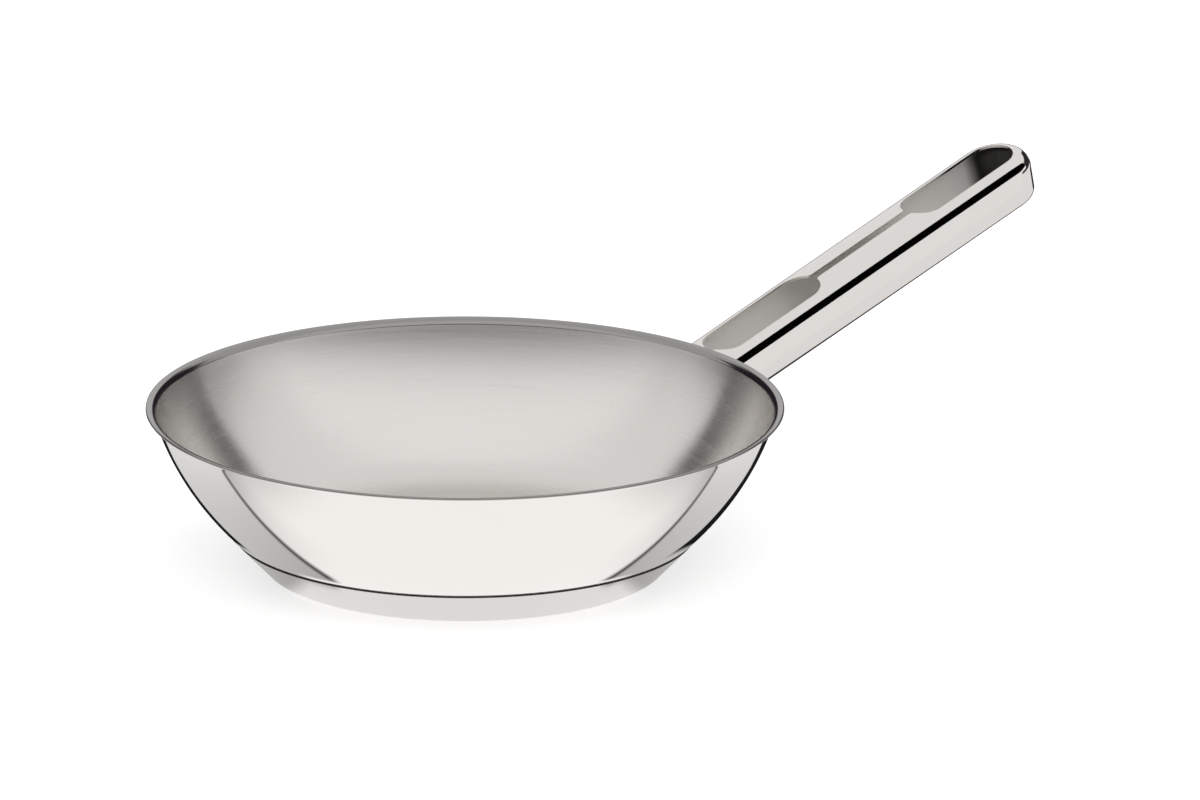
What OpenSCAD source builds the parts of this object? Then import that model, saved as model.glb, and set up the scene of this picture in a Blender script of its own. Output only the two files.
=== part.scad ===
// Omelette pan: a drawn steel bowl with a turned-out lip, a capsule base with an aluminium
// core, and a hollow handle folded from one sheet.
// Millimetres. The origin is on the bowl's axis at the underside of the base, +Z is up and
// the handle points along +X.

/* [Bowl] */
// Height of the rim above the underside of the base
pan_h = 63.3; // [58:0.1:72]
// Outer diameter of the wall's curve, carried up to the height of the rim
mouth_d = 241.2; // [232:0.2:252]
// Radius of the wall's curve in section, on its outer face
wall_r = 113; // [95:0.5:135]
// Thickness of the bowl's sheet
bowl_t = 1; // [0.8:0.05:1.3]
// Radius between the wall and the cooking floor, on the inside
floor_r = 30; // [24:0.5:36]
// Radius of the bend that turns the lip out, on its underside
lip_r = 2; // [1.5:0.1:3]
// Straight width of the lip beyond its bend
lip_w = 1.2; // [1:0.05:2.5]
// Angle of the lip above the horizontal
lip_rise = 10; // [4:0.5:16]

/* [Base] */
// Outer diameter of the bowl at the seam with the base cap
seam_d = 177.2; // [170:0.2:184]
// Height of that seam above the underside
seam_h = 13.4; // [12.4:0.1:15]
// Diameter of the base cap at its underside, before the corner is rounded
base_d = 152.2; // [146:0.2:158]
// Outer radius of the cap's lower corner
base_corner_r = 4; // [2.5:0.1:6]
// Thickness of the base cap's sheet
cap_t = 0.8; // [0.6:0.05:1]
// How far the cap's top edge stands proud of the wall
cap_step = 0.5; // [0.3:0.05:0.8]
// Radius of the fine groove along the seam
seam_groove_r = 0.4; // [0.25:0.05:0.45]
// Thickness of the aluminium core
core_t = 6.5; // [5:0.1:7]

/* [Handle] */
// Tilt of the handle above the horizontal
handle_tilt = 16.6; // [12:0.2:20]
// Height of the rim above the point where the handle's top line meets the wall
handle_drop = 8.9; // [6:0.1:13]
// Distance along the handle from that point to the centre of its round end
handle_l = 174.9; // [150:0.1:200]
// Width of the handle
handle_w = 30; // [27:0.2:34]
// Depth of the handle
handle_h = 20.1; // [18:0.1:23]
// Thickness of the handle's sheet
handle_t = 1; // [0.8:0.05:1.3]
// Angle by which the handle's sides lean in towards its bottom
side_lean = 3.5; // [0:0.5:6]
// Radius of the crowned top
crown_r = 48; // [40:1:80]
// Outer radius of the shoulders
shoulder_r = 6; // [5:0.1:7]
// Outer radius of the lower edges
lower_r = 4; // [2.5:0.1:5]
// Gap between the two folded flaps
slit_w = 3.9; // [2.5:0.1:5]
// Width of the two windows
window_w = 18.5; // [16:0.1:19]
// Rounding of the flaps' corners
flap_corner_r = 2; // [1:0.1:3]
// Distance along the handle from the wall to the window next to the bowl
near_window_at = 16.1; // [14:0.1:24]
// Length of the window next to the bowl
near_window_l = 58.9; // [40:0.1:66]
// Length of the window at the end of the handle, used for hanging
far_window_l = 55.7; // [40:0.1:66]

/* [Joint between bowl and handle] */
// Thickness of the bracket inside the handle's front end
bracket_t = 1.5; // [1:0.1:2]
// Reach of the bracket's arms along the handle, from the wall
bracket_l = 13.5; // [10:0.1:15.5]
// Clearance between the bracket's arms and the handle's walls
bracket_fit = 0.1; // [0.05:0.01:0.2]
// Clearance between the handle's shaped front end and the bowl's wall
cope_gap = 0.2; // [0.1:0.02:0.4]
// Width of the weld bead round the handle's front end
bead_w = 1.2; // [0.8:0.1:1.8]
// Radius of a spot weld
spot_r = 2; // [1.5:0.1:2.5]
// Distance between the spot welds on the bowl
spot_pitch = 8; // [6:0.1:8.5]

/* [Hidden] */
$fn = 96;
steel = "#d9d9d6";
aluminium = "#b9bcbf";
weld_grey = "#a8a6a2";

// How far a cutting shape runs past what it cuts
over = 5;

// Steps in an arc: a long one, a common one and a tight one
long_steps = 20;
steps = 10;
tight_steps = 6;

function dir(a) = [cos(a), sin(a)];

// Points of an arc after its first one, so that arcs which touch can be joined end to end
function arc(c, r, from, to, n) = [for (i = [1:n]) c + r * dir(from + (to - from) * i / n)];

// An outline from one half of it, which starts and ends on the line of symmetry
function both_sides(half, flip) = concat(half,
    [for (i = [len(half) - 2:-1:1]) [half[i][0] * flip[0], half[i][1] * flip[1]]]);

// The wall's arc, by its centre, from its two ends and its radius
mouth_rad = mouth_d / 2;
seam_rad = seam_d / 2;
chord = [mouth_rad - seam_rad, pan_h - seam_h];
chord_l = norm(chord);
arc_rise = sqrt(pow(wall_r, 2) - pow(chord_l / 2, 2));
wall_c = [(mouth_rad + seam_rad) / 2 - arc_rise * chord[1] / chord_l,
          (pan_h + seam_h) / 2 + arc_rise * chord[0] / chord_l];

// The fillet between the wall and the floor touches both
floor_top = cap_t + core_t + bowl_t;
floor_under = floor_top - bowl_t;
fillet_z = floor_top + floor_r;
fillet_reach = wall_r - bowl_t - floor_r;
fillet_c = [wall_c[0] + sqrt(pow(fillet_reach, 2) - pow(wall_c[1] - fillet_z, 2)), fillet_z];
fillet_a = atan2(fillet_c[1] - wall_c[1], fillet_c[0] - wall_c[0]);

// The lip's bend touches the wall on the outside, and its tip ends at the height of the rim
lip_c_z = pan_h - (lip_r + bowl_t) * cos(lip_rise) - lip_w * sin(lip_rise);
neck_a = -asin((wall_c[1] - lip_c_z) / (wall_r + lip_r));
lip_c = [wall_c[0] + (wall_r + lip_r) * cos(neck_a), lip_c_z];
lip_up = dir(90 + lip_rise);
lip_out = dir(lip_rise);
tip_c = lip_c + (lip_r + bowl_t / 2) * lip_up + lip_w * lip_out;

// The cap's straight side, and the fillet between it and the underside
cap_rad = seam_rad + cap_step;
base_rad = base_d / 2;
side_a = atan2(seam_h, cap_rad - base_rad);
corner_c = [base_rad - base_corner_r * tan(side_a / 2), base_corner_r];

// The handle's section: x across the handle, y from 0 at the crown down to -handle_h
shoulder_x = handle_w / 2 - shoulder_r;
shoulder_y = -crown_r + sqrt(pow(crown_r - shoulder_r, 2) - pow(shoulder_x, 2));
shoulder_a = atan2(shoulder_y + crown_r, shoulder_x);

// Half width of the section between its leaning sides, at a height and drawn in by a distance
function side_at(y, inset) =
    shoulder_x + (shoulder_r - inset + (y - shoulder_y) * sin(side_lean)) / cos(side_lean);

lower_y = -handle_h + lower_r;
lower_x = side_at(lower_y, lower_r);

// The point where the handle's top line meets the wall. Places along the handle are measured
// from it, and the handle is drawn from far inside the wall and then shaped to it.
joint_z = pan_h - handle_drop;
joint_x = wall_c[0] + sqrt(pow(wall_r, 2) - pow(wall_c[1] - joint_z, 2));
handle_start = -wall_r / 2;
window_r = window_w / 2;
near_window_end = near_window_at + near_window_l;
far_window_end = handle_l + window_r;
far_window_start = far_window_end - far_window_l;

// The bracket's strip is as high as the flat part of the handle's sides
bracket_top = shoulder_y;
bracket_low = lower_y + bracket_fit;
bracket_mid = (bracket_top + bracket_low) / 2;
arm_out = handle_t + bracket_fit;
arm_in = arm_out + bracket_t;
arm_spot_at = bracket_l - 2 * spot_r;

// A flap's corner: where its centre lies from the centre of the window's end, and its angle there
flap_c = [sqrt(pow(window_r + flap_corner_r, 2) - pow(slit_w / 2 + flap_corner_r, 2)),
          slit_w / 2 + flap_corner_r];
flap_a = atan2(flap_c[1], flap_c[0]);

// The bowl's two faces, from the axis out to the lip
bowl_inside = concat([[0, floor_top], [fillet_c[0], floor_top]],
    arc(fillet_c, floor_r, -90, fillet_a, steps),
    arc(wall_c, wall_r - bowl_t, fillet_a, neck_a, long_steps),
    arc(lip_c, lip_r + bowl_t, 180 + neck_a, 90 + lip_rise, tight_steps));
bowl_outside = concat([[0, floor_under], [fillet_c[0], floor_under]],
    arc(fillet_c, floor_r + bowl_t, -90, fillet_a, steps),
    arc(wall_c, wall_r, fillet_a, neck_a, long_steps),
    arc(lip_c, lip_r, 180 + neck_a, 90 + lip_rise, tight_steps));

// Section of the bowl's sheet, closed by the lip's round edge
module bowl_profile() {
    polygon(concat(bowl_inside, [tip_c + bowl_t / 2 * lip_up],
        arc(tip_c, bowl_t / 2, 90 + lip_rise, lip_rise - 90, tight_steps),
        [for (i = [len(bowl_outside) - 1:-1:0]) bowl_outside[i]]));
}

// Everything inside the bowl's outer face
module bowl_fill() {
    polygon(concat(bowl_outside, [[0, tip_c[1]]]));
}

// Section inside the cap's outer face, or the same drawn in by the cap's thickness
module cap_fill(inset) {
    polygon(concat([[0, inset], [corner_c[0], inset]],
        arc(corner_c, base_corner_r - inset, -90, side_a - 90, tight_steps),
        [[cap_rad - inset / sin(side_a), seam_h], [0, seam_h]]));
}

// Solid inside the bowl's outer face up to the lip's bend, or grown by a distance
module wall_solid(grow) {
    rotate_extrude() polygon(concat(
        [[0, floor_under - grow], [fillet_c[0], floor_under - grow]],
        arc(fillet_c, floor_r + bowl_t + grow, -90, fillet_a, steps),
        arc(wall_c, wall_r + grow, fillet_a, neck_a, long_steps),
        [[0, wall_c[1] + (wall_r + grow) * sin(neck_a)]]));
}

// Right half of the handle's section, drawn in by a distance or grown where it is below 0
function handle_half(inset) = concat([[0, inset - handle_h], [lower_x, inset - handle_h]],
    arc([lower_x, lower_y], lower_r - inset, -90, -side_lean, tight_steps),
    [[shoulder_x, shoulder_y] + (shoulder_r - inset) * dir(-side_lean)],
    arc([shoulder_x, shoulder_y], shoulder_r - inset, -side_lean, shoulder_a, tight_steps),
    arc([0, -crown_r], crown_r - inset, shoulder_a, 90, tight_steps));

// Puts what is drawn along +X in its place on the tilted handle
module on_handle() {
    translate([joint_x, 0, joint_z]) rotate([0, -handle_tilt, 0]) children();
}

// Handle's section drawn along the handle, back from a place
module along_handle(length, end, inset) {
    translate([end, 0, 0]) rotate([90, 0, -90]) linear_extrude(length)
        polygon(both_sides(handle_half(inset), [-1, 1]));
}

// Solid handle with its round end, drawn in by a distance
module handle_solid(inset) {
    along_handle(handle_l - handle_start, handle_l, inset);
    translate([handle_l, 0, 0]) rotate(-90) rotate_extrude(angle = 180) polygon(handle_half(inset));
}

// Outline of what is cut from the crown: the slit, and both windows with the flaps' round corners
module crown_cut() {
    near_a = near_window_at + window_r;
    near_b = near_window_end - window_r;
    far_a = far_window_start + window_r;
    polygon(both_sides(concat([[handle_start, 0], [handle_start, slit_w / 2]],
        window_mouth(near_a), window_throat(near_b), window_mouth(far_a),
        [[handle_l, window_r]], arc([handle_l, 0], window_r, 90, 0, steps)), [1, -1]));
}

// From the slit round a flap's corner into the end of a window, and out again at its other end
function window_mouth(x) = concat([[x - flap_c[0], slit_w / 2]],
    arc([x - flap_c[0], flap_c[1]], flap_corner_r, -90, -flap_a, tight_steps),
    arc([x, 0], window_r, 180 - flap_a, 90, steps));
function window_throat(x) = concat([[x, window_r]],
    arc([x, 0], window_r, 90, flap_a, steps),
    arc([x + flap_c[0], flap_c[1]], flap_corner_r, 180 + flap_a, 270, tight_steps));

// Bowl drawn from one sheet, with the lip turned out for pouring
module pan_body() {
    color(steel) rotate_extrude() bowl_profile();
}

// Aluminium core that fills the space between the bowl and the cap
module base_core() {
    color(aluminium) rotate_extrude() difference() {
        cap_fill(cap_t);
        bowl_fill();
    }
}

// Steel cap that holds the core and reaches up round the lower wall to the seam
module base_cap() {
    color(steel) rotate_extrude() difference() {
        cap_fill(0);
        cap_fill(cap_t);
        bowl_fill();
        translate([cap_rad, seam_h]) circle(seam_groove_r);
    }
}

// Folded handle: a trough with a full-round end, two flaps that meet over it at the slit,
// and two windows cut through the flaps
module handle_shell() {
    color(steel) difference() {
        on_handle() difference() {
            handle_solid(0);
            handle_solid(handle_t);
            translate([0, 0, lower_y]) linear_extrude(over - lower_y) crown_cut();
        }
        wall_solid(cope_gap);
    }
}

// Strip bent to a U: its web lies on the bowl's wall and its arms reach into the handle
module handle_bracket() {
    color(steel) difference() {
        on_handle() strip(arm_out, 0);
        bracket_hollow();
        wall_solid(0);
        on_handle() spots();
    }
}

// Block as wide and high as the bracket between the handle's leaning sides, drawn in from
// them by a distance, or longer and higher by a margin
module strip(inset, margin) {
    top = bracket_top + margin;
    low = bracket_low - margin;
    translate([bracket_l + margin, 0, 0]) rotate([90, 0, -90])
        linear_extrude(bracket_l - handle_start + margin)
        polygon([[-side_at(low, inset), low], [side_at(low, inset), low],
                 [side_at(top, inset), top], [-side_at(top, inset), top]]);
}

// Space between the bracket's arms, beyond its web
module bracket_hollow() {
    difference() {
        on_handle() strip(arm_in, over);
        wall_solid(bracket_t);
    }
}

// Rods where the spot welds are: three through the web and one through each arm
module spots() {
    for (i = [-1, 0, 1])
        translate([handle_start, i * spot_pitch, bracket_mid]) rotate([0, 90, 0])
            cylinder(r = spot_r, h = arm_spot_at - spot_r - handle_start);
    for (side = [0, 1]) mirror([0, side, 0])
        translate([arm_spot_at, side_at(bracket_mid, handle_t), bracket_mid])
            rotate([90 - side_lean, 0, 0])
            cylinder(r = spot_r, h = bracket_t + bracket_fit + over);
}

// Spot welds that hold the bracket to the bowl and the handle to the bracket
module spot_welds() {
    color(weld_grey) difference() {
        on_handle() spots();
        bracket_hollow();
        wall_solid(0);
    }
}

// Weld bead that closes the joint between the bowl and the handle's front end
module front_weld() {
    color(weld_grey) difference() {
        intersection() {
            on_handle() difference() {
                along_handle(near_window_at - handle_start, near_window_at, -bead_w);
                along_handle(near_window_at - handle_start, near_window_at, 0);
            }
            wall_solid(bead_w);
        }
        wall_solid(0);
    }
}

pan_body();
base_core();
base_cap();
handle_shell();
handle_bracket();
spot_welds();
front_weld();
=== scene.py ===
import math

import bmesh
import bpy
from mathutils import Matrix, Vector


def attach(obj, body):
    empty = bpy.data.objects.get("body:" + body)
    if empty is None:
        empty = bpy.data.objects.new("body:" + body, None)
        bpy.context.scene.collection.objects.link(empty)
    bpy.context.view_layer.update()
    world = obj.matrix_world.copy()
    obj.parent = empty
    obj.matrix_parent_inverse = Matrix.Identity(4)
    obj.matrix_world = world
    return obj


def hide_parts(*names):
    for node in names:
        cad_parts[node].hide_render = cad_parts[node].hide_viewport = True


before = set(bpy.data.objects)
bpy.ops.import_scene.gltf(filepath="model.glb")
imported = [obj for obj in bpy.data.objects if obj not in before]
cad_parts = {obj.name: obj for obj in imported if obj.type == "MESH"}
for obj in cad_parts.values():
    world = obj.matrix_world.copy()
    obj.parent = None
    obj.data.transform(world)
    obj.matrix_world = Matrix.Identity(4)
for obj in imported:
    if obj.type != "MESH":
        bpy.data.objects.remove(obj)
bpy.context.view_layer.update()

bl_info = {
    "name": "Omelette Pan",
    "version": (1, 0, 0),
    "blender": (4, 5, 0),
    "location": "View3D > Sidebar > Pan",
    "description": "Builds a polished steel omelette pan with a folded hollow handle",
    "category": "Add Mesh",
}

MM = 0.001

# Angles of straight up and straight down in a section.
UP = math.pi / 2
DOWN = -UP

# Steps round the bowl's axis, and in the bend of its lip.
TURN_STEPS = 288
BEND_STEPS = 14

# Distances, in metres, within which points are merged, and within which they are the same point.
MERGED = 2e-6
TOUCHING = 1e-7

# Smallest distance from the axis that anything is divided by, in metres.
NEAR_AXIS = 1e-5


# Sizes and colours.

def length(name, description, default):
    return bpy.props.FloatProperty(name=name, description=description, default=default * MM,
                                   min=0.0, precision=5, subtype="DISTANCE", unit="LENGTH")


def angle(name, description, default):
    return bpy.props.FloatProperty(name=name, description=description, default=math.radians(default),
                                   subtype="ANGLE", unit="ROTATION")


def factor(name, description, default):
    return bpy.props.FloatProperty(name=name, description=description, default=default, min=0.0)


def colour(name, description, default):
    return bpy.props.FloatVectorProperty(name=name, description=description, default=default,
                                         min=0.0, max=1.0, size=3, subtype="COLOR")


class PanBowlSizes(bpy.types.PropertyGroup):
    pan_h: length("Height", "Height of the rim above the underside of the base", 63.3)
    mouth_d: length("Mouth", "Outer diameter of the wall's curve at the height of the rim", 241.2)
    wall_r: length("Wall radius", "Radius of the wall's curve in section, outside", 113)
    sheet: length("Sheet", "Thickness of the bowl's sheet", 1)
    floor_r: length("Floor radius", "Radius between the wall and the cooking floor, inside", 30)
    lip_r: length("Lip bend", "Radius under the bend that turns the lip out", 2)
    lip_w: length("Lip width", "Straight width of the lip beyond its bend", 1.2)
    lip_rise: angle("Lip rise", "Angle of the lip above the horizontal", 10)
    seam_d: length("Seam", "Outer diameter of the bowl at the seam with the base cap", 177.2)
    seam_h: length("Seam height", "Height of the seam above the underside", 13.4)
    base_d: length("Base", "Diameter of the base cap at its underside", 152.2)
    base_corner_r: length("Base corner", "Outer radius of the cap's lower corner", 4)
    cap_t: length("Cap sheet", "Thickness of the base cap's sheet", 0.8)
    cap_step: length("Cap step", "How far the cap's top edge stands proud of the wall", 0.5)
    groove_r: length("Seam groove", "Radius of the fine groove along the seam", 0.4)
    core_t: length("Core", "Thickness of the aluminium core", 6.5)


class PanHandleSizes(bpy.types.PropertyGroup):
    tilt: angle("Tilt", "Tilt of the handle above the horizontal", 16.6)
    drop: length("Drop", "Height of the rim above the point where the handle meets the wall", 8.9)
    reach: length("Length", "Distance from the wall to the centre of the handle's round end", 174.9)
    width: length("Width", "Width of the handle", 30)
    depth: length("Depth", "Depth of the handle", 20.1)
    sheet: length("Sheet", "Thickness of the handle's sheet", 1)
    side_lean: angle("Side lean", "Angle by which the sides lean in towards the bottom", 3.5)
    crown_r: length("Crown", "Radius of the crowned top", 48)
    shoulder_r: length("Shoulders", "Outer radius of the shoulders", 6)
    lower_r: length("Lower edges", "Outer radius of the lower edges", 4)
    slit_w: length("Slit", "Gap between the two folded flaps", 3.9)
    window_w: length("Windows", "Width of the two windows", 18.5)
    flap_corner_r: length("Flap corners", "Rounding of the flaps' corners", 2)
    near_window_at: length("Near window", "Distance from the wall to the window next to the bowl", 16.1)
    near_window_l: length("Near window length", "Length of the window next to the bowl", 58.9)
    far_window_l: length("Far window length", "Length of the window used for hanging", 55.7)
    cope_gap: length("Front gap", "Clearance between the handle's front end and the bowl", 0.2)


class PanFinish(bpy.types.PropertyGroup):
    polished: colour("Polished steel", "Colour of the mirror-polished steel", (0.85, 0.822, 0.795))
    satin: colour("Satin steel", "Colour of the brushed inside of the bowl", (0.79, 0.77, 0.74))
    mill: colour("Mill finish", "Colour of the sheet inside the handle", (0.86, 0.845, 0.82))
    weld: colour("Weld", "Colour of the cleaned welds", (0.55, 0.545, 0.535))
    aluminium: colour("Aluminium", "Colour of the core in the base", (0.77, 0.78, 0.79))
    ring_pitch: length("Brush pitch", "Distance between the brushed rings inside the bowl", 0.35)


class PanStage(bpy.types.PropertyGroup):
    floor: colour("Floor", "Colour of the floor", (0.86, 0.86, 0.86))
    floor_gap: length("Floor gap", "Distance of the floor below the pan's base", 0.1)
    azimuth: angle("Azimuth", "Direction the camera looks from, about the bowl's axis", -45)
    elevation: angle("Elevation", "Height of the camera above the horizon", 16.6)
    view_w: length("View width", "Width of what the camera sees", 461.54)
    aim_right: length("Aim right", "How far right of the middle of the bowl's mouth the camera aims", 51.92)
    aim_up: length("Aim up", "How far above the middle of the bowl's mouth the camera aims", 2.79)
    dome: factor("Dome", "Strength of the soft light", 1.0)
    floor_lift: factor("White floor", "Glow that whitens the floor in the picture", 0.55)
    card_gap: length("Card distance", "Distance of the cards beside the handle", 22)
    card_foot: angle("Pale card's foot", "Height of the pale card's foot, as an angle from the handle", -50)
    card_low: angle("Black card's foot", "Height of the black card's foot, as an angle from the handle", 4)
    card_high: angle("Black card's top", "Height of the black card's top, as an angle from the handle", 60)


# Drawing in section.

def ray(a):
    return Vector((math.cos(a), math.sin(a)))


def arc(c, r, start, end, steps):
    """Points of an arc after its first one."""
    return [Vector(c) + r * ray(start + (end - start) * i / steps) for i in range(1, steps + 1)]


def line(a, b, steps):
    """Points of a straight line after its first one."""
    return [Vector(a).lerp(Vector(b), i / steps) for i in range(1, steps + 1)]


class BowlSection:
    """Outline of the bowl and its base cap, as (radius, height) pairs, from the pan's sizes."""

    def __init__(self, s):
        self.s = s
        mouth, seam = s.mouth_d / 2, s.seam_d / 2
        chord = Vector((mouth - seam, s.pan_h - s.seam_h))
        rise = math.sqrt(s.wall_r ** 2 - (chord.length / 2) ** 2)
        self.wall_c = Vector(((mouth + seam) / 2 - rise * chord.y / chord.length,
                              (s.pan_h + s.seam_h) / 2 + rise * chord.x / chord.length))
        self.floor_top = s.cap_t + s.core_t + s.sheet
        fillet_z = self.floor_top + s.floor_r
        reach = s.wall_r - s.sheet - s.floor_r
        fillet_x = self.wall_c.x + math.sqrt(reach ** 2 - (self.wall_c.y - fillet_z) ** 2)
        self.fillet_c = Vector((fillet_x, fillet_z))
        d = self.fillet_c - self.wall_c
        self.fillet_a = math.atan2(d.y, d.x)
        lip_z = s.pan_h - (s.lip_r + s.sheet) * math.cos(s.lip_rise) - s.lip_w * math.sin(s.lip_rise)
        self.neck_a = -math.asin((self.wall_c.y - lip_z) / (s.wall_r + s.lip_r))
        self.lip_c = Vector((self.wall_c.x + (s.wall_r + s.lip_r) * math.cos(self.neck_a), lip_z))
        self.up = ray(UP + s.lip_rise)
        self.tip_c = self.lip_c + (s.lip_r + s.sheet / 2) * self.up + s.lip_w * ray(s.lip_rise)
        self.cap_rad = seam + s.cap_step
        base_rad = s.base_d / 2
        self.side_a = math.atan2(s.seam_h, self.cap_rad - base_rad)
        self.corner_c = Vector((base_rad - s.base_corner_r * math.tan(self.side_a / 2), s.base_corner_r))

    def face(self, grow, z_start):
        """The bowl's outer face moved out by a distance, from the axis to the end of the lip's bend."""
        s = self.s
        pts = [Vector((0, z_start))] + line((0, z_start), (self.fillet_c.x, z_start), steps=8)
        pts += arc(self.fillet_c, s.floor_r + s.sheet + grow, DOWN, self.fillet_a, steps=16)
        pts += arc(self.wall_c, s.wall_r + grow, self.fillet_a, self.neck_a, steps=40)
        pts += arc(self.lip_c, s.lip_r - grow, math.pi + self.neck_a, UP + s.lip_rise, steps=BEND_STEPS)
        return pts

    def bowl(self):
        s = self.s
        inside = self.face(-s.sheet, self.floor_top)
        outside = self.face(0, self.floor_top - s.sheet)
        tip = line(inside[-1], self.tip_c + s.sheet / 2 * self.up, steps=2)
        tip += arc(self.tip_c, s.sheet / 2, UP + s.lip_rise, DOWN + s.lip_rise, steps=12)
        return inside + tip + line(tip[-1], outside[-1], steps=2)[:-1] + outside[::-1]

    def wall_radius(self, z):
        """Outer radius of the wall at a height."""
        return self.wall_c.x + math.sqrt(self.s.wall_r ** 2 - (self.wall_c.y - z) ** 2)

    def cap(self):
        s = self.s
        side_n = self.side_a + DOWN
        top = Vector((self.cap_rad, s.seam_h))
        outer = [Vector((0, 0))] + line((0, 0), (self.corner_c.x, 0), steps=8)
        outer += arc(self.corner_c, s.base_corner_r, DOWN, side_n, steps=16)
        along = (top - outer[-1]).normalized()
        outer += line(outer[-1], top - along * s.groove_r, steps=4)
        outer += arc(top, s.groove_r, math.atan2(-along.y, -along.x), -math.pi, steps=8)
        outer += [Vector((self.wall_radius(s.seam_h), s.seam_h))]
        inner = [Vector((self.wall_radius(s.seam_h - s.cap_t), s.seam_h - s.cap_t))]
        inner += arc(self.corner_c, s.base_corner_r - s.cap_t, side_n, DOWN, steps=8)
        inner += [Vector((0, s.cap_t))]
        return outer + inner


class HandleSection:
    """Right half of the handle's section: x across, y up from the crown, from the handle's sizes."""

    def __init__(self, s):
        self.s = s
        self.shoulder = Vector((s.width / 2 - s.shoulder_r, 0))
        self.shoulder.y = -s.crown_r + math.sqrt((s.crown_r - s.shoulder_r) ** 2 - self.shoulder.x ** 2)
        self.shoulder_a = math.atan2(self.shoulder.y + s.crown_r, self.shoulder.x)
        self.lower = Vector((0, s.lower_r - s.depth))
        drop = (self.lower.y - self.shoulder.y) * math.sin(s.side_lean)
        self.lower.x = self.shoulder.x + (s.shoulder_r - s.lower_r + drop) / math.cos(s.side_lean)

    def half(self, inset):
        """The section's outer line moved in by a distance, from the middle of the bottom to the crown."""
        s = self.s
        bottom = inset - s.depth
        pts = [Vector((0, bottom))] + line((0, bottom), (self.lower.x, bottom), steps=2)
        pts += arc(self.lower, s.lower_r - inset, DOWN, -s.side_lean, steps=20)
        pts += line(pts[-1], self.shoulder + (s.shoulder_r - inset) * ray(-s.side_lean), steps=2)
        pts += arc(self.shoulder, s.shoulder_r - inset, -s.side_lean, self.shoulder_a, steps=24)
        pts += arc((0, -s.crown_r), s.crown_r - inset, self.shoulder_a, UP, steps=16)
        return pts

    def crown_cut(self, start):
        """Outline of the slit and both windows, as (along, across) points."""
        s = self.s
        r, half_slit, corner_r = s.window_w / 2, s.slit_w / 2, s.flap_corner_r
        cy = half_slit + corner_r
        cx = math.sqrt((r + corner_r) ** 2 - cy ** 2)
        a = math.atan2(cy, cx)

        def opens(x):
            """From the slit into a window whose round end is centred at x."""
            return ([Vector((x - cx, half_slit))] + arc((x - cx, cy), corner_r, DOWN, -a, steps=8)
                    + arc((x, 0), r, math.pi - a, UP, steps=20))

        def closes(x):
            """From such a window back into the slit."""
            return ([Vector((x, r))] + arc((x, 0), r, UP, a, steps=20)
                    + arc((x + cx, cy), corner_r, math.pi + a, 3 * UP, steps=8))

        near_a = s.near_window_at + r
        near_b = s.near_window_at + s.near_window_l - r
        far_a = s.reach + r - s.far_window_l + r
        upper = ([Vector((start, half_slit))] + opens(near_a) + closes(near_b) + opens(far_a)
                 + [Vector((s.reach, r))] + arc((s.reach, 0), r, UP, 0, steps=24))
        lower = [Vector((p.x, -p.y)) for p in upper[-2::-1]]
        return upper + lower

    def on_inner_skin(self, side, up):
        """True for a point of the section that lies on the inner face of the sheet."""
        s = self.s
        depth = -up
        skin, core = s.sheet * 0.4, s.sheet * 0.75
        side_w = s.width / 2 - max(0.0, depth - s.shoulder_r) * math.tan(s.side_lean)
        if depth > s.depth - skin or side > side_w - skin:
            return False
        crown = s.crown_r - math.sqrt(max(s.crown_r ** 2 - side ** 2, 0.0))
        if side < self.shoulder.x and depth < crown + core:
            return False
        d = math.hypot(side - self.shoulder.x, up - self.shoulder.y)
        if side > self.shoulder.x and up > self.shoulder.y and d > s.shoulder_r - core:
            return False
        d = math.hypot(side - self.lower.x, up - self.lower.y)
        return not (side > self.lower.x and up < self.lower.y and d > s.lower_r - core)


# Working in edit mode.

def deselect():
    if bpy.context.object and bpy.context.object.mode != "OBJECT":
        bpy.ops.object.mode_set(mode="OBJECT")
    bpy.ops.object.select_all(action="DESELECT")


def only(obj):
    deselect()
    obj.select_set(True)
    bpy.context.view_layer.objects.active = obj


def apply_place(obj):
    """Puts an object's place and turn into its mesh."""
    only(obj)
    bpy.ops.object.transform_apply(location=True, rotation=True, scale=True)


def select(obj, test):
    """Selects the vertices that pass a test, in edit mode."""
    bpy.ops.mesh.select_mode(type="VERT")
    bpy.ops.mesh.select_all(action="DESELECT")
    mesh = bmesh.from_edit_mesh(obj.data)
    for v in mesh.verts:
        if test(v):
            v.select_set(True)
    mesh.select_flush_mode()
    bmesh.update_edit_mesh(obj.data)


def extrude(x, y, z):
    bpy.ops.mesh.extrude_region_move(TRANSFORM_OT_translate={"value": (x, y, z)})


def trace(name, points):
    """A chain of edges through 3D points: a small plane merged to a point, then extruded."""
    deselect()
    bpy.ops.mesh.primitive_plane_add(size=MM, location=points[0])
    obj = bpy.context.object
    obj.name = obj.data.name = name
    apply_place(obj)
    bpy.ops.object.mode_set(mode="EDIT")
    bpy.ops.mesh.select_mode(type="VERT")
    bpy.ops.mesh.select_all(action="SELECT")
    bpy.ops.mesh.merge(type="CENTER")
    for a, b in zip(points, points[1:]):
        extrude(*(Vector(b) - Vector(a)))
    bpy.ops.mesh.select_all(action="SELECT")
    return obj


def filled(name, corners):
    """A flat face with these corners, left selected in edit mode."""
    obj = trace(name, corners)
    ends = (Vector(corners[0]), Vector(corners[-1]))
    select(obj, lambda v: min((v.co - end).length for end in ends) < TOUCHING)
    bpy.ops.mesh.edge_face_add()
    bpy.ops.mesh.select_all(action="SELECT")
    bpy.ops.mesh.edge_face_add()
    return obj


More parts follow.
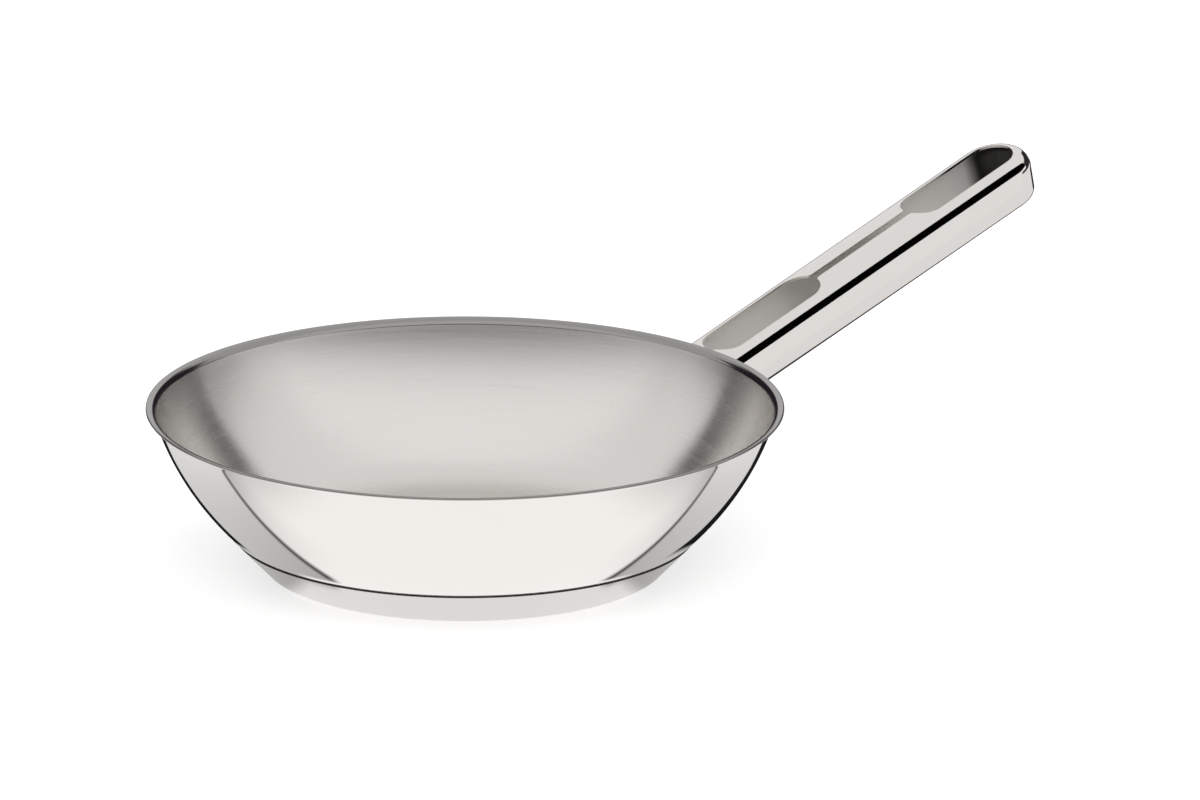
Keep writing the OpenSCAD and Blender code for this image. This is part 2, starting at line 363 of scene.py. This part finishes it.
def close_mesh():
    """Merges doubles and turns every face outwards, then leaves edit mode."""
    bpy.ops.mesh.select_all(action="SELECT")
    bpy.ops.mesh.remove_doubles(threshold=MERGED)
    bpy.ops.mesh.dissolve_degenerate(threshold=TOUCHING)
    bpy.ops.mesh.select_all(action="SELECT")
    bpy.ops.mesh.normals_make_consistent(inside=False)
    bpy.ops.object.mode_set(mode="OBJECT")


def spun(name, outline):
    """A (radius, height) outline turned once round the Z axis."""
    obj = trace(name, [(p.x, 0, p.y) for p in outline])
    bpy.ops.mesh.spin(steps=TURN_STEPS, angle=2 * math.pi, center=(0, 0, 0), axis=(0, 0, 1))
    close_mesh()
    return obj


def prism(name, outline, low, high):
    """A closed outline extruded from one height to another."""
    obj = filled(name, [(p.x, p.y, low) for p in outline])
    extrude(0, 0, high - low)
    close_mesh()
    return obj


def join(objects):
    only(objects[0])
    for o in objects:
        o.select_set(True)
    bpy.ops.object.join()
    return objects[0]


def cut(obj, cutter):
    """Takes a cutter away from a piece, and deletes the cutter."""
    only(obj)
    m = obj.modifiers.new("cut", "BOOLEAN")
    m.operation = "DIFFERENCE"
    m.solver = "MANIFOLD"
    m.object = cutter
    bpy.ops.object.modifier_apply(modifier=m.name)
    bpy.data.objects.remove(cutter, do_unlink=True)


def smooth(obj, degrees):
    only(obj)
    bpy.ops.object.shade_smooth_by_angle(angle=math.radians(degrees))


def give(obj, *materials):
    obj.data.materials.clear()
    for m in materials:
        obj.data.materials.append(m)


def assign(obj, pick, *materials):
    """Gives each face the material whose number pick(centre, normal) returns."""
    give(obj, *materials)
    for face in obj.data.polygons:
        face.material_index = pick(face.center, face.normal)


def finished(obj, node):
    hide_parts(node)
    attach(obj, "root")


# Materials.

class Value:
    """A socket of a node tree that adds Math nodes when it is used in an expression."""

    def __init__(self, shader, socket):
        self.shader, self.socket = shader, socket

    def _math(self, operation, *values):
        return self.shader.node("ShaderNodeMath", dict(enumerate(values)), operation=operation)

    def __add__(self, o): return self._math("ADD", self, o)
    def __radd__(self, o): return self._math("ADD", o, self)
    def __sub__(self, o): return self._math("SUBTRACT", self, o)
    def __rsub__(self, o): return self._math("SUBTRACT", o, self)
    def __mul__(self, o): return self._math("MULTIPLY", self, o)
    def __rmul__(self, o): return self._math("MULTIPLY", o, self)
    def __truediv__(self, o): return self._math("DIVIDE", self, o)
    def __rtruediv__(self, o): return self._math("DIVIDE", o, self)
    def __abs__(self): return self._math("ABSOLUTE", self)

    def root(self): return self._math("SQRT", self)
    def sine(self): return self._math("SINE", self)
    def most(self, o): return self._math("MINIMUM", self, o)
    def least(self, o): return self._math("MAXIMUM", self, o)

    def between(self, low, high):
        """0 below low and 1 above high, with a soft change between them."""
        sockets = {"Value": self, "From Min": low, "From Max": high, "To Min": 0.0, "To Max": 1.0}
        return self.shader.node("ShaderNodeMapRange", sockets, interpolation_type="SMOOTHSTEP")


class Shader:
    """The node tree of a new material or world, with one method that adds any node."""

    def __init__(self, name, world=False):
        self.owner = (bpy.data.worlds if world else bpy.data.materials).new(name)
        self.owner.use_nodes = True
        self.tree = self.owner.node_tree
        self.tree.nodes.clear()
        self.out = self.tree.nodes.new("ShaderNodeOutputWorld" if world else "ShaderNodeOutputMaterial")
        self.count = 0

    def node(self, kind, sockets=None, output=0, **settings):
        """Adds a node with its settings, then the values or links of its sockets, and gives an output."""
        n = self.tree.nodes.new(kind)
        n.location = (-1400 + 190 * (self.count % 8), -170 * (self.count // 8))
        self.count += 1
        for key, value in settings.items():
            setattr(n, key, value)
        for key, value in (sockets or {}).items():
            self.plug(n.inputs[key], value)
        return Value(self, n.outputs[output])

    def plug(self, socket, value):
        if isinstance(value, Value):
            self.tree.links.new(value.socket, socket)
        elif socket.type == "RGBA":
            socket.default_value = (*value, 1.0)
        else:
            socket.default_value = value

    def finish(self, surface):
        """Connects the last node to the output, and gives the material or world."""
        self.tree.links.new(surface.socket, self.out.inputs["Surface"])
        return self.owner

    def place(self):
        return self.node("ShaderNodeTexCoord", output="Object")

    def split(self, vector):
        v = self.node("ShaderNodeSeparateXYZ", {0: vector})
        return [Value(self, socket) for socket in v.socket.node.outputs]

    def join(self, x, y, z):
        return self.node("ShaderNodeCombineXYZ", {0: x, 1: y, 2: z})

    def noise(self, vector, scale=1.0, detail=2.0, rough=0.5):
        return self.node("ShaderNodeTexNoise",
                         {"Vector": vector, "Scale": scale, "Detail": detail, "Roughness": rough})

    def tint(self, factor, a, b):
        """From colour a to colour b. A Mix node's colours are its inputs 6 and 7 and its output 2."""
        return self.node("ShaderNodeMix", {0: factor, 6: a, 7: b}, output=2, data_type="RGBA")

    def bump(self, height, strength, distance, normal=None):
        sockets = {"Height": height, "Strength": strength, "Distance": distance}
        if normal is not None:
            sockets["Normal"] = normal
        return self.node("ShaderNodeBump", sockets)

    def emission(self, tone, strength):
        return self.node("ShaderNodeEmission", {"Color": tone, "Strength": strength})

    def mix(self, factor, a, b):
        return self.node("ShaderNodeMixShader", {0: factor, 1: a, 2: b})

    def metal(self, base, rough, normal, more=None):
        """Finishes a metal material. More holds any other sockets of its shader."""
        sockets = {"Base Color": base, "Roughness": rough, "Metallic": 1.0, "Normal": normal}
        return self.finish(self.node("ShaderNodeBsdfPrincipled", sockets | (more or {})))


def shade(c, k):
    return tuple(v * k for v in c)


def axis_distance(sh):
    """Object coordinates, and the distance from the Z axis."""
    x, y, z = sh.split(sh.place())
    return x, y, z, (x * x + y * y).root()


def ring_grain(sh, pitch, along, rough=0.6):
    """Fine brushed rings round the Z axis, each fading in and out along its run."""
    x, y, z, r = axis_distance(sh)
    safe = r.least(NEAR_AXIS)
    up_wall = r + z * 0.7
    run = sh.join(x / safe * along, y / safe * along, up_wall * (1.0 / pitch))
    return sh.noise(run, detail=3.0, rough=rough)


def line_grain(sh, axes, along, across, detail=3.0, rough=0.6):
    """Lines along the first of three axes, from how often they change per metre both ways."""
    a, b, c = axes
    return sh.noise(sh.join(a * along, b * across, c * across), detail=detail, rough=rough)


def polished_outside(c, name="steel_polished_bowl", rough=0.03):
    """Polished outside of the bowl and the base cap's side."""
    sh = Shader(name)
    hair = ring_grain(sh, pitch=0.9 * MM, along=3.0)
    cloud = sh.noise(sh.place(), scale=22.0)
    base = sh.tint(cloud * 0.5, c, shade(c, 0.975))
    wave = sh.bump(cloud, strength=0.10, distance=0.35 * MM)
    return sh.metal(base, rough + hair * 0.02 + cloud * 0.015,
                    sh.bump(hair, strength=0.05, distance=0.02 * MM, normal=wave))


def satin_inside(c, pitch):
    """Satin inside of the bowl, brushed in fine rings with broader ones among them."""
    sh = Shader("steel_satin_bowl")
    fine = ring_grain(sh, pitch, along=2.2, rough=0.65)
    broad = ring_grain(sh, pitch=1.0 / 420.0, along=1.3)
    base = sh.tint(broad, shade(c, 0.96), shade(c, 1.02))
    wave = sh.bump(broad, strength=0.10, distance=0.08 * MM)
    return sh.metal(base, 0.19 + fine * 0.06 + broad * 0.08,
                    sh.bump(fine, strength=0.15, distance=0.03 * MM, normal=wave),
                    {"Anisotropic": 0.85, "Anisotropic Rotation": 0.25})


def satin_lip(c):
    """Lip of the bowl, buffed finer than the inside, its colour taken down to 0.42 of the satin steel as
    painted shade.
    """
    sh = Shader("steel_satin_lip")
    fine = ring_grain(sh, pitch=0.3 * MM, along=4.0)
    return sh.metal(shade(c, 0.42), 0.10 + fine * 0.10,
                    sh.bump(fine, strength=0.25, distance=0.03 * MM))


def turned_base(c):
    """Underside of the base, faced on a lathe."""
    sh = Shader("steel_turned_base")
    tool_pitch = 0.7 * MM
    fine = ring_grain(sh, pitch=0.6 * MM, along=1.4)
    r = axis_distance(sh)[3]
    groove = (r * (2 * math.pi / tool_pitch)).sine()
    wave = sh.bump(fine, strength=0.25, distance=0.03 * MM)
    return sh.metal(shade(c, 0.97), 0.20 + fine * 0.16,
                    sh.bump(groove, strength=0.10, distance=0.03 * MM, normal=wave))


def seam_groove(c):
    """Unpolished groove of the seam, darkened almost to black: partly what the buffing wheel leaves in it,
    partly painted shade of the groove.
    """
    sh = Shader("steel_seam")
    grit = ring_grain(sh, pitch=0.6 * MM, along=6.0)
    return sh.metal(sh.tint(grit, shade(c, 0.10), shade(c, 0.30)), 0.5 + grit * 0.2,
                    sh.bump(grit, strength=0.3, distance=0.04 * MM))


def along_and_up(x, z, tilt, joint):
    """Distances along the tilted handle and square to it, from where it meets the wall."""
    x, z = x - joint[0], z - joint[1]
    return x * math.cos(tilt) + z * math.sin(tilt), z * math.cos(tilt) - x * math.sin(tilt)


def handle_axes(sh, tilt, joint):
    x, y, z = sh.split(sh.place())
    along, up = along_and_up(x, z, tilt, joint)
    return along, y, up


def polished_handle(c, tilt, joint):
    """Mirror-polished handle, with hairlines along it left by the buffing wheel."""
    sh = Shader("steel_polished_handle")
    axes = handle_axes(sh, tilt, joint)
    hair = line_grain(sh, axes, along=60.0, across=2600.0)
    wave = line_grain(sh, axes, along=26.0, across=60.0, detail=2.0, rough=0.5)
    base = sh.tint(wave, c, shade(c, 0.97))
    sheet = sh.bump(wave, strength=0.12, distance=0.2 * MM)
    return sh.metal(base, 0.03 + hair * 0.025,
                    sh.bump(hair, strength=0.05, distance=0.01 * MM, normal=sheet))


def mill_handle(c, tilt, joint, end):
    """Plain rolled sheet inside the handle, made smoother by drawing at the round end, where its colour is
    taken almost to black as painted shade.
    """
    sh = Shader("steel_mill_handle")
    axes = handle_axes(sh, tilt, joint)
    grain = line_grain(sh, axes, along=90.0, across=2200.0, detail=4.0)
    spots = sh.noise(sh.place(), scale=900.0, detail=3.0, rough=0.6)
    smooth_end_and_painted_shade = axes[0].between(end - 3 * MM, end + 5 * MM)
    rough = 0.56 + grain * 0.10 + spots * 0.06 - smooth_end_and_painted_shade * 0.44
    # Towards the round end the colour goes almost to black: painted shade of the closed end, where little
    # light reaches.
    base = sh.tint(smooth_end_and_painted_shade, sh.tint(grain, shade(c, 1.02), shade(c, 1.12)), shade(c, 0.04))
    return sh.metal(base, rough, sh.bump(grain, strength=0.15, distance=0.03 * MM), {"Metallic": 0.0})


def weld_metal(c, name):
    """Cleaned weld with the ripples of the bead."""
    sh = Shader(name)
    ripple = sh.noise(sh.place(), scale=1500.0, detail=3.0, rough=0.6)
    coarse = sh.noise(sh.place(), scale=350.0)
    base = sh.tint(coarse, shade(c, 0.85), shade(c, 1.1))
    return sh.metal(base, 0.30 + ripple * 0.2, sh.bump(ripple, strength=0.4, distance=0.12 * MM))


def rolled_sheet(c, name, rough=0.28):
    """As-rolled sheet, with a grain along X."""
    sh = Shader(name)
    grain = line_grain(sh, sh.split(sh.place()), along=80.0, across=1800.0, detail=4.0)
    base = sh.tint(grain, shade(c, 0.92), shade(c, 1.05))
    return sh.metal(base, rough + grain * 0.12, sh.bump(grain, strength=0.2, distance=0.03 * MM))


# Operators.

class OMPAN_OT_bowl(bpy.types.Operator):
    """Spins the bowl's sheet with its turned-out lip"""
    bl_idname = "ompan.bowl"
    bl_label = "Bowl"

    def execute(self, context):
        s, f = context.scene.pan_bowl, context.scene.pan_finish
        section = BowlSection(s)
        obj = spun("bowl_sheet", section.bowl())
        inside, lip, outside = range(3)
        lip_x, lip_z = section.lip_c

        def pick(c, n):
            """The top of the bend and the lip beyond it, then what faces up or inwards, then the rest."""
            r = math.hypot(c.x, c.y)
            half = s.sheet / 2
            if c.z > lip_z + half and math.hypot(r - lip_x, c.z - lip_z) > s.lip_r + half:
                return lip
            inward = -(n.x * c.x + n.y * c.y) / max(r, NEAR_AXIS)
            upward = n.z > 0.2 and (inward > 0 or r < section.fillet_c.x)
            return inside if upward or inward > 0.5 else outside

        assign(obj, pick, satin_inside(f.satin, f.ring_pitch), satin_lip(f.satin),
               polished_outside(f.polished))
        smooth(obj, 40)
        finished(obj, "pan_body")
        return {"FINISHED"}


class OMPAN_OT_base(bpy.types.Operator):
    """Spins the base cap with its seam"""
    bl_idname = "ompan.base"
    bl_label = "Base cap"

    def execute(self, context):
        s, f = context.scene.pan_bowl, context.scene.pan_finish
        section = BowlSection(s)
        obj = spun("base_cap_shell", section.cap())
        side, underside, groove = range(3)

        def pick(c, n):
            if n.z < -0.999 and c.z < 0.1 * MM:
                return underside
            from_seam = math.hypot(math.hypot(c.x, c.y) - section.cap_rad, c.z - s.seam_h)
            return groove if from_seam < s.groove_r * 1.05 else side

        # The cap's steel is taken to 0.80 of the polished colour as painted shade, for the shaded floor
        # round the foot that it mirrors; it is also rougher.
        assign(obj, pick, polished_outside(shade(f.polished, 0.80), "steel_polished_cap", rough=0.16),
               turned_base(f.polished), seam_groove(f.weld))
        smooth(obj, 30)
        finished(obj, "base_cap")
        return {"FINISHED"}


def joint_point(bowl, handle):
    """Where the handle's top line meets the wall, as (x, z)."""
    z = bowl.pan_h - handle.drop
    return BowlSection(bowl).wall_radius(z), z


class OMPAN_OT_handle(bpy.types.Operator):
    """Builds the folded hollow handle: a trough with a round end, two flaps over it and two windows"""
    bl_idname = "ompan.handle"
    bl_label = "Handle"

    def execute(self, context):
        b, s, f = context.scene.pan_bowl, context.scene.pan_handle, context.scene.pan_finish
        section, wall = HandleSection(s), BowlSection(b)
        joint = joint_point(b, s)
        start = -40 * MM
        clear = 5 * MM
        skins = [trace("handle_folded", [(start, -p.x, p.y) for p in section.half(inset)])
                 for inset in (0, s.sheet)]
        obj = join(skins)
        bpy.ops.object.mode_set(mode="EDIT")
        bpy.ops.mesh.select_all(action="SELECT")
        extrude(s.reach - start, 0, 0)
        bpy.ops.mesh.spin(steps=72, angle=-math.pi, center=(s.reach, 0, 0), axis=(0, 0, 1))
        extrude(start - s.reach, 0, 0)
        bpy.ops.mesh.select_all(action="SELECT")
        bpy.ops.mesh.remove_doubles(threshold=MERGED)
        select(obj, lambda v: v.co.x < start + MERGED / 2)
        bpy.ops.mesh.fill(use_beauty=False)
        close_mesh()
        cut(obj, prism("crown_cutter", section.crown_cut(start - clear), section.lower.y, clear))
        obj.rotation_euler = (0, -s.tilt, 0)
        obj.location = (joint[0], 0, joint[1])
        apply_place(obj)
        under_lip = wall.face(s.cope_gap, wall.floor_top - b.sheet - s.cope_gap)[:-BEND_STEPS]
        cut(obj, spun("wall_cutter", under_lip + [Vector((0, under_lip[-1].y))]))

        def pick(c, n):
            along, up = along_and_up(c.x, c.z, s.tilt, joint)
            side = max(abs(c.y), math.hypot(max(along - s.reach, 0), c.y))
            return int(section.on_inner_skin(side, up))

        assign(obj, pick, polished_handle(f.polished, s.tilt, joint),
               mill_handle(f.mill, s.tilt, joint, s.reach))
        smooth(obj, 35)
        finished(obj, "handle_shell")
        return {"FINISHED"}


class OMPAN_OT_joint(bpy.types.Operator):
    """Finishes the core, the bracket and the welds, which keep their meshes"""
    bl_idname = "ompan.joint"
    bl_label = "Core, bracket and welds"

    def execute(self, context):
        f = context.scene.pan_finish
        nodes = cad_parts
        give(nodes["base_core"], rolled_sheet(f.aluminium, "aluminium_core", rough=0.32))
        give(nodes["handle_bracket"], rolled_sheet(f.mill, "steel_bracket"))
        give(nodes["spot_welds"], weld_metal(f.weld, "steel_spot_weld"))
        give(nodes["front_weld"], weld_metal(f.weld, "steel_weld_bead"))
        return {"FINISHED"}


class OMPAN_OT_stage(bpy.types.Operator):
    """Sets the pale floor, the cards, the studio light and the camera"""
    bl_idname = "ompan.stage"
    bl_label = "Stage"

    def execute(self, context):
        scene = context.scene
        stage, bowl = scene.pan_stage, scene.pan_bowl
        scene.view_settings.view_transform = "Standard"
        camera(scene, stage, bowl)
        floor(stage, bowl.base_d / 2)
        handle_cards(stage, bowl, scene.pan_handle)
        scene.world = lights(stage)
        return {"FINISHED"}


def camera(scene, stage, bowl):
    """A camera without perspective, aimed beside the middle of the bowl's mouth."""
    a, e = stage.azimuth, stage.elevation
    back = Vector((math.sin(a) * math.cos(e), -math.cos(a) * math.cos(e), math.sin(e)))
    right = Vector((math.cos(a), math.sin(a), 0))
    aim = Vector((0, 0, bowl.pan_h)) + right * stage.aim_right + back.cross(right) * stage.aim_up
    distance = 2.0
    data = bpy.data.cameras.new("camera")
    data.type = "ORTHO"
    data.ortho_scale = stage.view_w
    data.clip_start, data.clip_end = 0.01, 50
    cam = bpy.data.objects.new("camera", data)
    scene.collection.objects.link(cam)
    cam.location = aim + back * distance
    cam.rotation_mode = "QUATERNION"
    cam.rotation_quaternion = back.to_track_quat("Z", "Y")
    scene.camera = cam


def turned(stage, x, y):
    """Level distances turned with the stage: to the back of the picture, and to its right."""
    a = stage.azimuth
    return x * -math.sin(a) + y * math.cos(a), x * math.cos(a) + y * math.sin(a)


def mirrored_paper(back, right, side, beyond):
    """White paper in front of the pan, and greyer paper behind it, with a dark line where they meet.

    The line bows away from the pan to both sides, where the grey paper is lighter, as it is far back.
    """
    edge_at, bow, bow_end, skew = 68.0, 0.0015, 170.0, 0.04
    bent = side.most(bow_end)
    edge = back - (bent * bent * bow + right * skew - edge_at)
    near_edge = edge.between(-28.0, 0.0) * side.between(45.0, 100.0)
    front = 1.04 - side.between(85.0, bow_end) * 0.34 - near_edge * 0.16
    behind = 0.46 + (side - 56.0).least(0.0).most(118.0) * 0.0031
    behind = behind.least(back.between(60.0, 160.0) * 0.83)
    glow = front + (behind - front) * edge.between(-0.6, 0.6) * beyond
    line_w = 3.0
    dark_line = (1.0 - abs(edge) / line_w).least(0.0) * side.between(50.0, 60.0) * beyond
    return glow * (1.0 - dark_line * 0.95)


def mirrored_side_cards(back, right, side, from_foot):
    """Where a black card lies on the floor on each side of the pan."""
    bow_start, bow_w, bow = 105.0, 35.0, 0.012
    slope, skew, near_at = 1.62, 0.06, 162.0
    outer = (side - bow_start).least(0.0).most(bow_w)
    past = back - (side * slope + outer * outer * bow - right * skew - near_at)
    far_end = past - (side - 150.0).least(0.0)
    card_area = past.between(-1.0, 1.0) * (1.0 - far_end.between(75.0, 100.0))
    return card_area * from_foot.between(12.0, 18.0) * side.between(78.0, 86.0)


def mirrored_floor(sh, stage, foot):
    """Brightness of the floor where polished steel mirrors it, from distances in millimetres.

    Paper and cards lie round the pan, and a thin dark line of painted shadow runs round the foot of its
    base.
    """
    x, y, _, r = axis_distance(sh)
    back, right = (v / MM for v in turned(stage, x, y))
    side = abs(right)
    from_foot = r / MM - foot / MM
    beyond = from_foot.between(7.0, 10.0).least(side.between(62.0, 72.0))
    paper = mirrored_paper(back, right, side, beyond)
    cards = mirrored_side_cards(back, right, side, from_foot)
    # A painted contact shadow: a dark ring just inside the foot, lighter again under the base.
    under_base = 0.8 - from_foot.between(-4.0, -3.0) * 0.8
    painted_foot_shadow = from_foot.between(-1.6, -0.4).least(under_base)
    return paper * (1.0 - cards * 0.985) * painted_foot_shadow


def clear_from_behind(sh, front):
    """Finishes a floor that is clear where it is seen from below."""
    clear = sh.node("ShaderNodeBsdfTransparent")
    return sh.finish(sh.mix(sh.node("ShaderNodeNewGeometry", output="Backfacing"), front, clear))


def floor(stage, foot):
    """A large floor that the camera sees pale and polished steel sees as a studio's table."""
    outer_r, middle_r = 4.0, 1.0
    deselect()
    bpy.ops.mesh.primitive_circle_add(vertices=96, radius=outer_r, fill_type="NGON",
                                      location=(0, 0, -stage.floor_gap))
    obj = bpy.context.object
    obj.name = "studio_floor"
    apply_place(obj)
    bpy.ops.object.mode_set(mode="EDIT")
    bpy.ops.mesh.select_all(action="SELECT")
    bpy.ops.mesh.inset(thickness=outer_r - middle_r)
    bpy.ops.object.mode_set(mode="OBJECT")
    sh = Shader("studio_floor")
    black, white = (0.0, 0.0, 0.0), (1.0, 1.0, 1.0)
    brightest = 1.1
    camera_ray = sh.node("ShaderNodeLightPath", output="Is Camera Ray")
    glossy_ray = sh.node("ShaderNodeLightPath", output="Is Glossy Ray")
    diffuse = sh.node("ShaderNodeBsdfDiffuse", {"Color": stage.floor})
    lift = sh.emission(sh.tint(camera_ray, black, white), stage.floor_lift)
    plain = sh.node("ShaderNodeAddShader", {0: diffuse, 1: lift})
    share = mirrored_floor(sh, stage, foot) / brightest
    seen = sh.emission(sh.tint(share, black, white), brightest)
    give(obj, clear_from_behind(sh, sh.mix(glossy_ray, plain, seen)))


def card(name, corners, tone):
    """A sheet of card beside the pan that only its steel sees."""
    obj = filled(name, corners)
    bpy.ops.object.mode_set(mode="OBJECT")
    sh = Shader(name)
    give(obj, sh.finish(sh.emission(tone, 1.0)))
    for ray_kind in ("camera", "diffuse", "shadow", "transmission", "volume_scatter"):
        setattr(obj, "visible_" + ray_kind, False)


def handle_cards(stage, bowl, handle):
    """A black card with a pale one below it, along the handle's right side."""
    joint = joint_point(bowl, handle)
    gap = stage.card_gap
    offset = ray(math.radians(-55)) * gap
    near, end = joint[0] + 8 * MM, joint[0] + handle.reach

    def strip(name, far, low, high, tone):
        corners = []
        for x, lift in ((near, low), (far, low), (far, high), (near, high)):
            z = joint[1] + (x - joint[0]) * math.tan(handle.tilt)
            corners.append((x + offset.x, offset.y - handle.width / 2, z + gap * math.tan(lift)))
        card(name, corners, tone)

    strip("black_card", end + 60 * MM, stage.card_low, stage.card_high, (0.0, 0.0, 0.0))
    strip("white_card", end + 5 * MM, stage.card_foot, stage.card_low, (0.86, 0.86, 0.86))


def lights(stage):
    """A world with a dome of soft light above a dark bar, and plain white where the camera sees it.

    The bar stands highest towards the front and in two sectors behind the pan, and is bright below.
    """
    sh = Shader("studio", world=True)
    x, y, z = sh.split(sh.node("ShaderNodeTexCoord", output="Generated"))
    ahead, right = turned(stage, x, y)
    level = (x * x + y * y).root().least(1e-4)
    facing = ahead / level
    leftward = (0.0 - right / level).least(0.0)
    frontward = (0.0 - facing).least(0.0)
    sectors = facing.between(0.42, 0.54) * (1.0 - facing.between(0.93, 0.98))
    bar = 0.15 + frontward * 0.35 + leftward * 0.04 + sectors * 0.36
    lit = (z - bar).between(-0.04, 0.04).least((0.0 - z).between(0.15, 0.35))
    dark, white, pale = (0.030, 0.024, 0.034), (1.0, 1.0, 1.0), (0.83, 0.83, 0.83)
    bright = sh.tint(ahead.between(-0.25, -0.05), white, pale)
    dome = sh.node("ShaderNodeBackground", {"Color": sh.tint(lit, dark, bright), "Strength": stage.dome})
    backdrop = sh.node("ShaderNodeBackground", {"Color": white, "Strength": 1.0})
    return sh.finish(sh.mix(sh.node("ShaderNodeLightPath", output="Is Camera Ray"), dome, backdrop))


class OMPAN_PT_panel(bpy.types.Panel):
    """Lists the pan's pieces and their sizes"""
    bl_idname = "OMPAN_PT_panel"
    bl_label = "Omelette pan"
    bl_space_type = "VIEW_3D"
    bl_region_type = "UI"
    bl_category = "Pan"

    def draw(self, context):
        for title, group, operators in (
                ("Bowl", "pan_bowl", ("ompan.bowl", "ompan.base")),
                ("Handle", "pan_handle", ("ompan.handle", "ompan.joint")),
                ("Finish", "pan_finish", ()), ("Stage", "pan_stage", ("ompan.stage",))):
            box = self.layout.box()
            box.label(text=title)
            values = getattr(context.scene, group)
            for key in values.bl_rna.properties.keys():
                if key not in ("rna_type", "name"):
                    box.prop(values, key)
            for op in operators:
                box.operator(op)


GROUPS = {"pan_bowl": PanBowlSizes, "pan_handle": PanHandleSizes, "pan_finish": PanFinish,
          "pan_stage": PanStage}
CLASSES = (*GROUPS.values(), OMPAN_OT_bowl, OMPAN_OT_base, OMPAN_OT_handle, OMPAN_OT_joint,
           OMPAN_OT_stage, OMPAN_PT_panel)


def register():
    for c in CLASSES:
        bpy.utils.register_class(c)
    for key, group in GROUPS.items():
        setattr(bpy.types.Scene, key, bpy.props.PointerProperty(type=group))


def unregister():
    for key in GROUPS:
        delattr(bpy.types.Scene, key)
    for c in reversed(CLASSES):
        bpy.utils.unregister_class(c)


def main():
    register()
    for step in (bpy.ops.ompan.bowl, bpy.ops.ompan.base, bpy.ops.ompan.handle, bpy.ops.ompan.joint,
                 bpy.ops.ompan.stage):
        step()


if __name__ == "__main__":
    main()
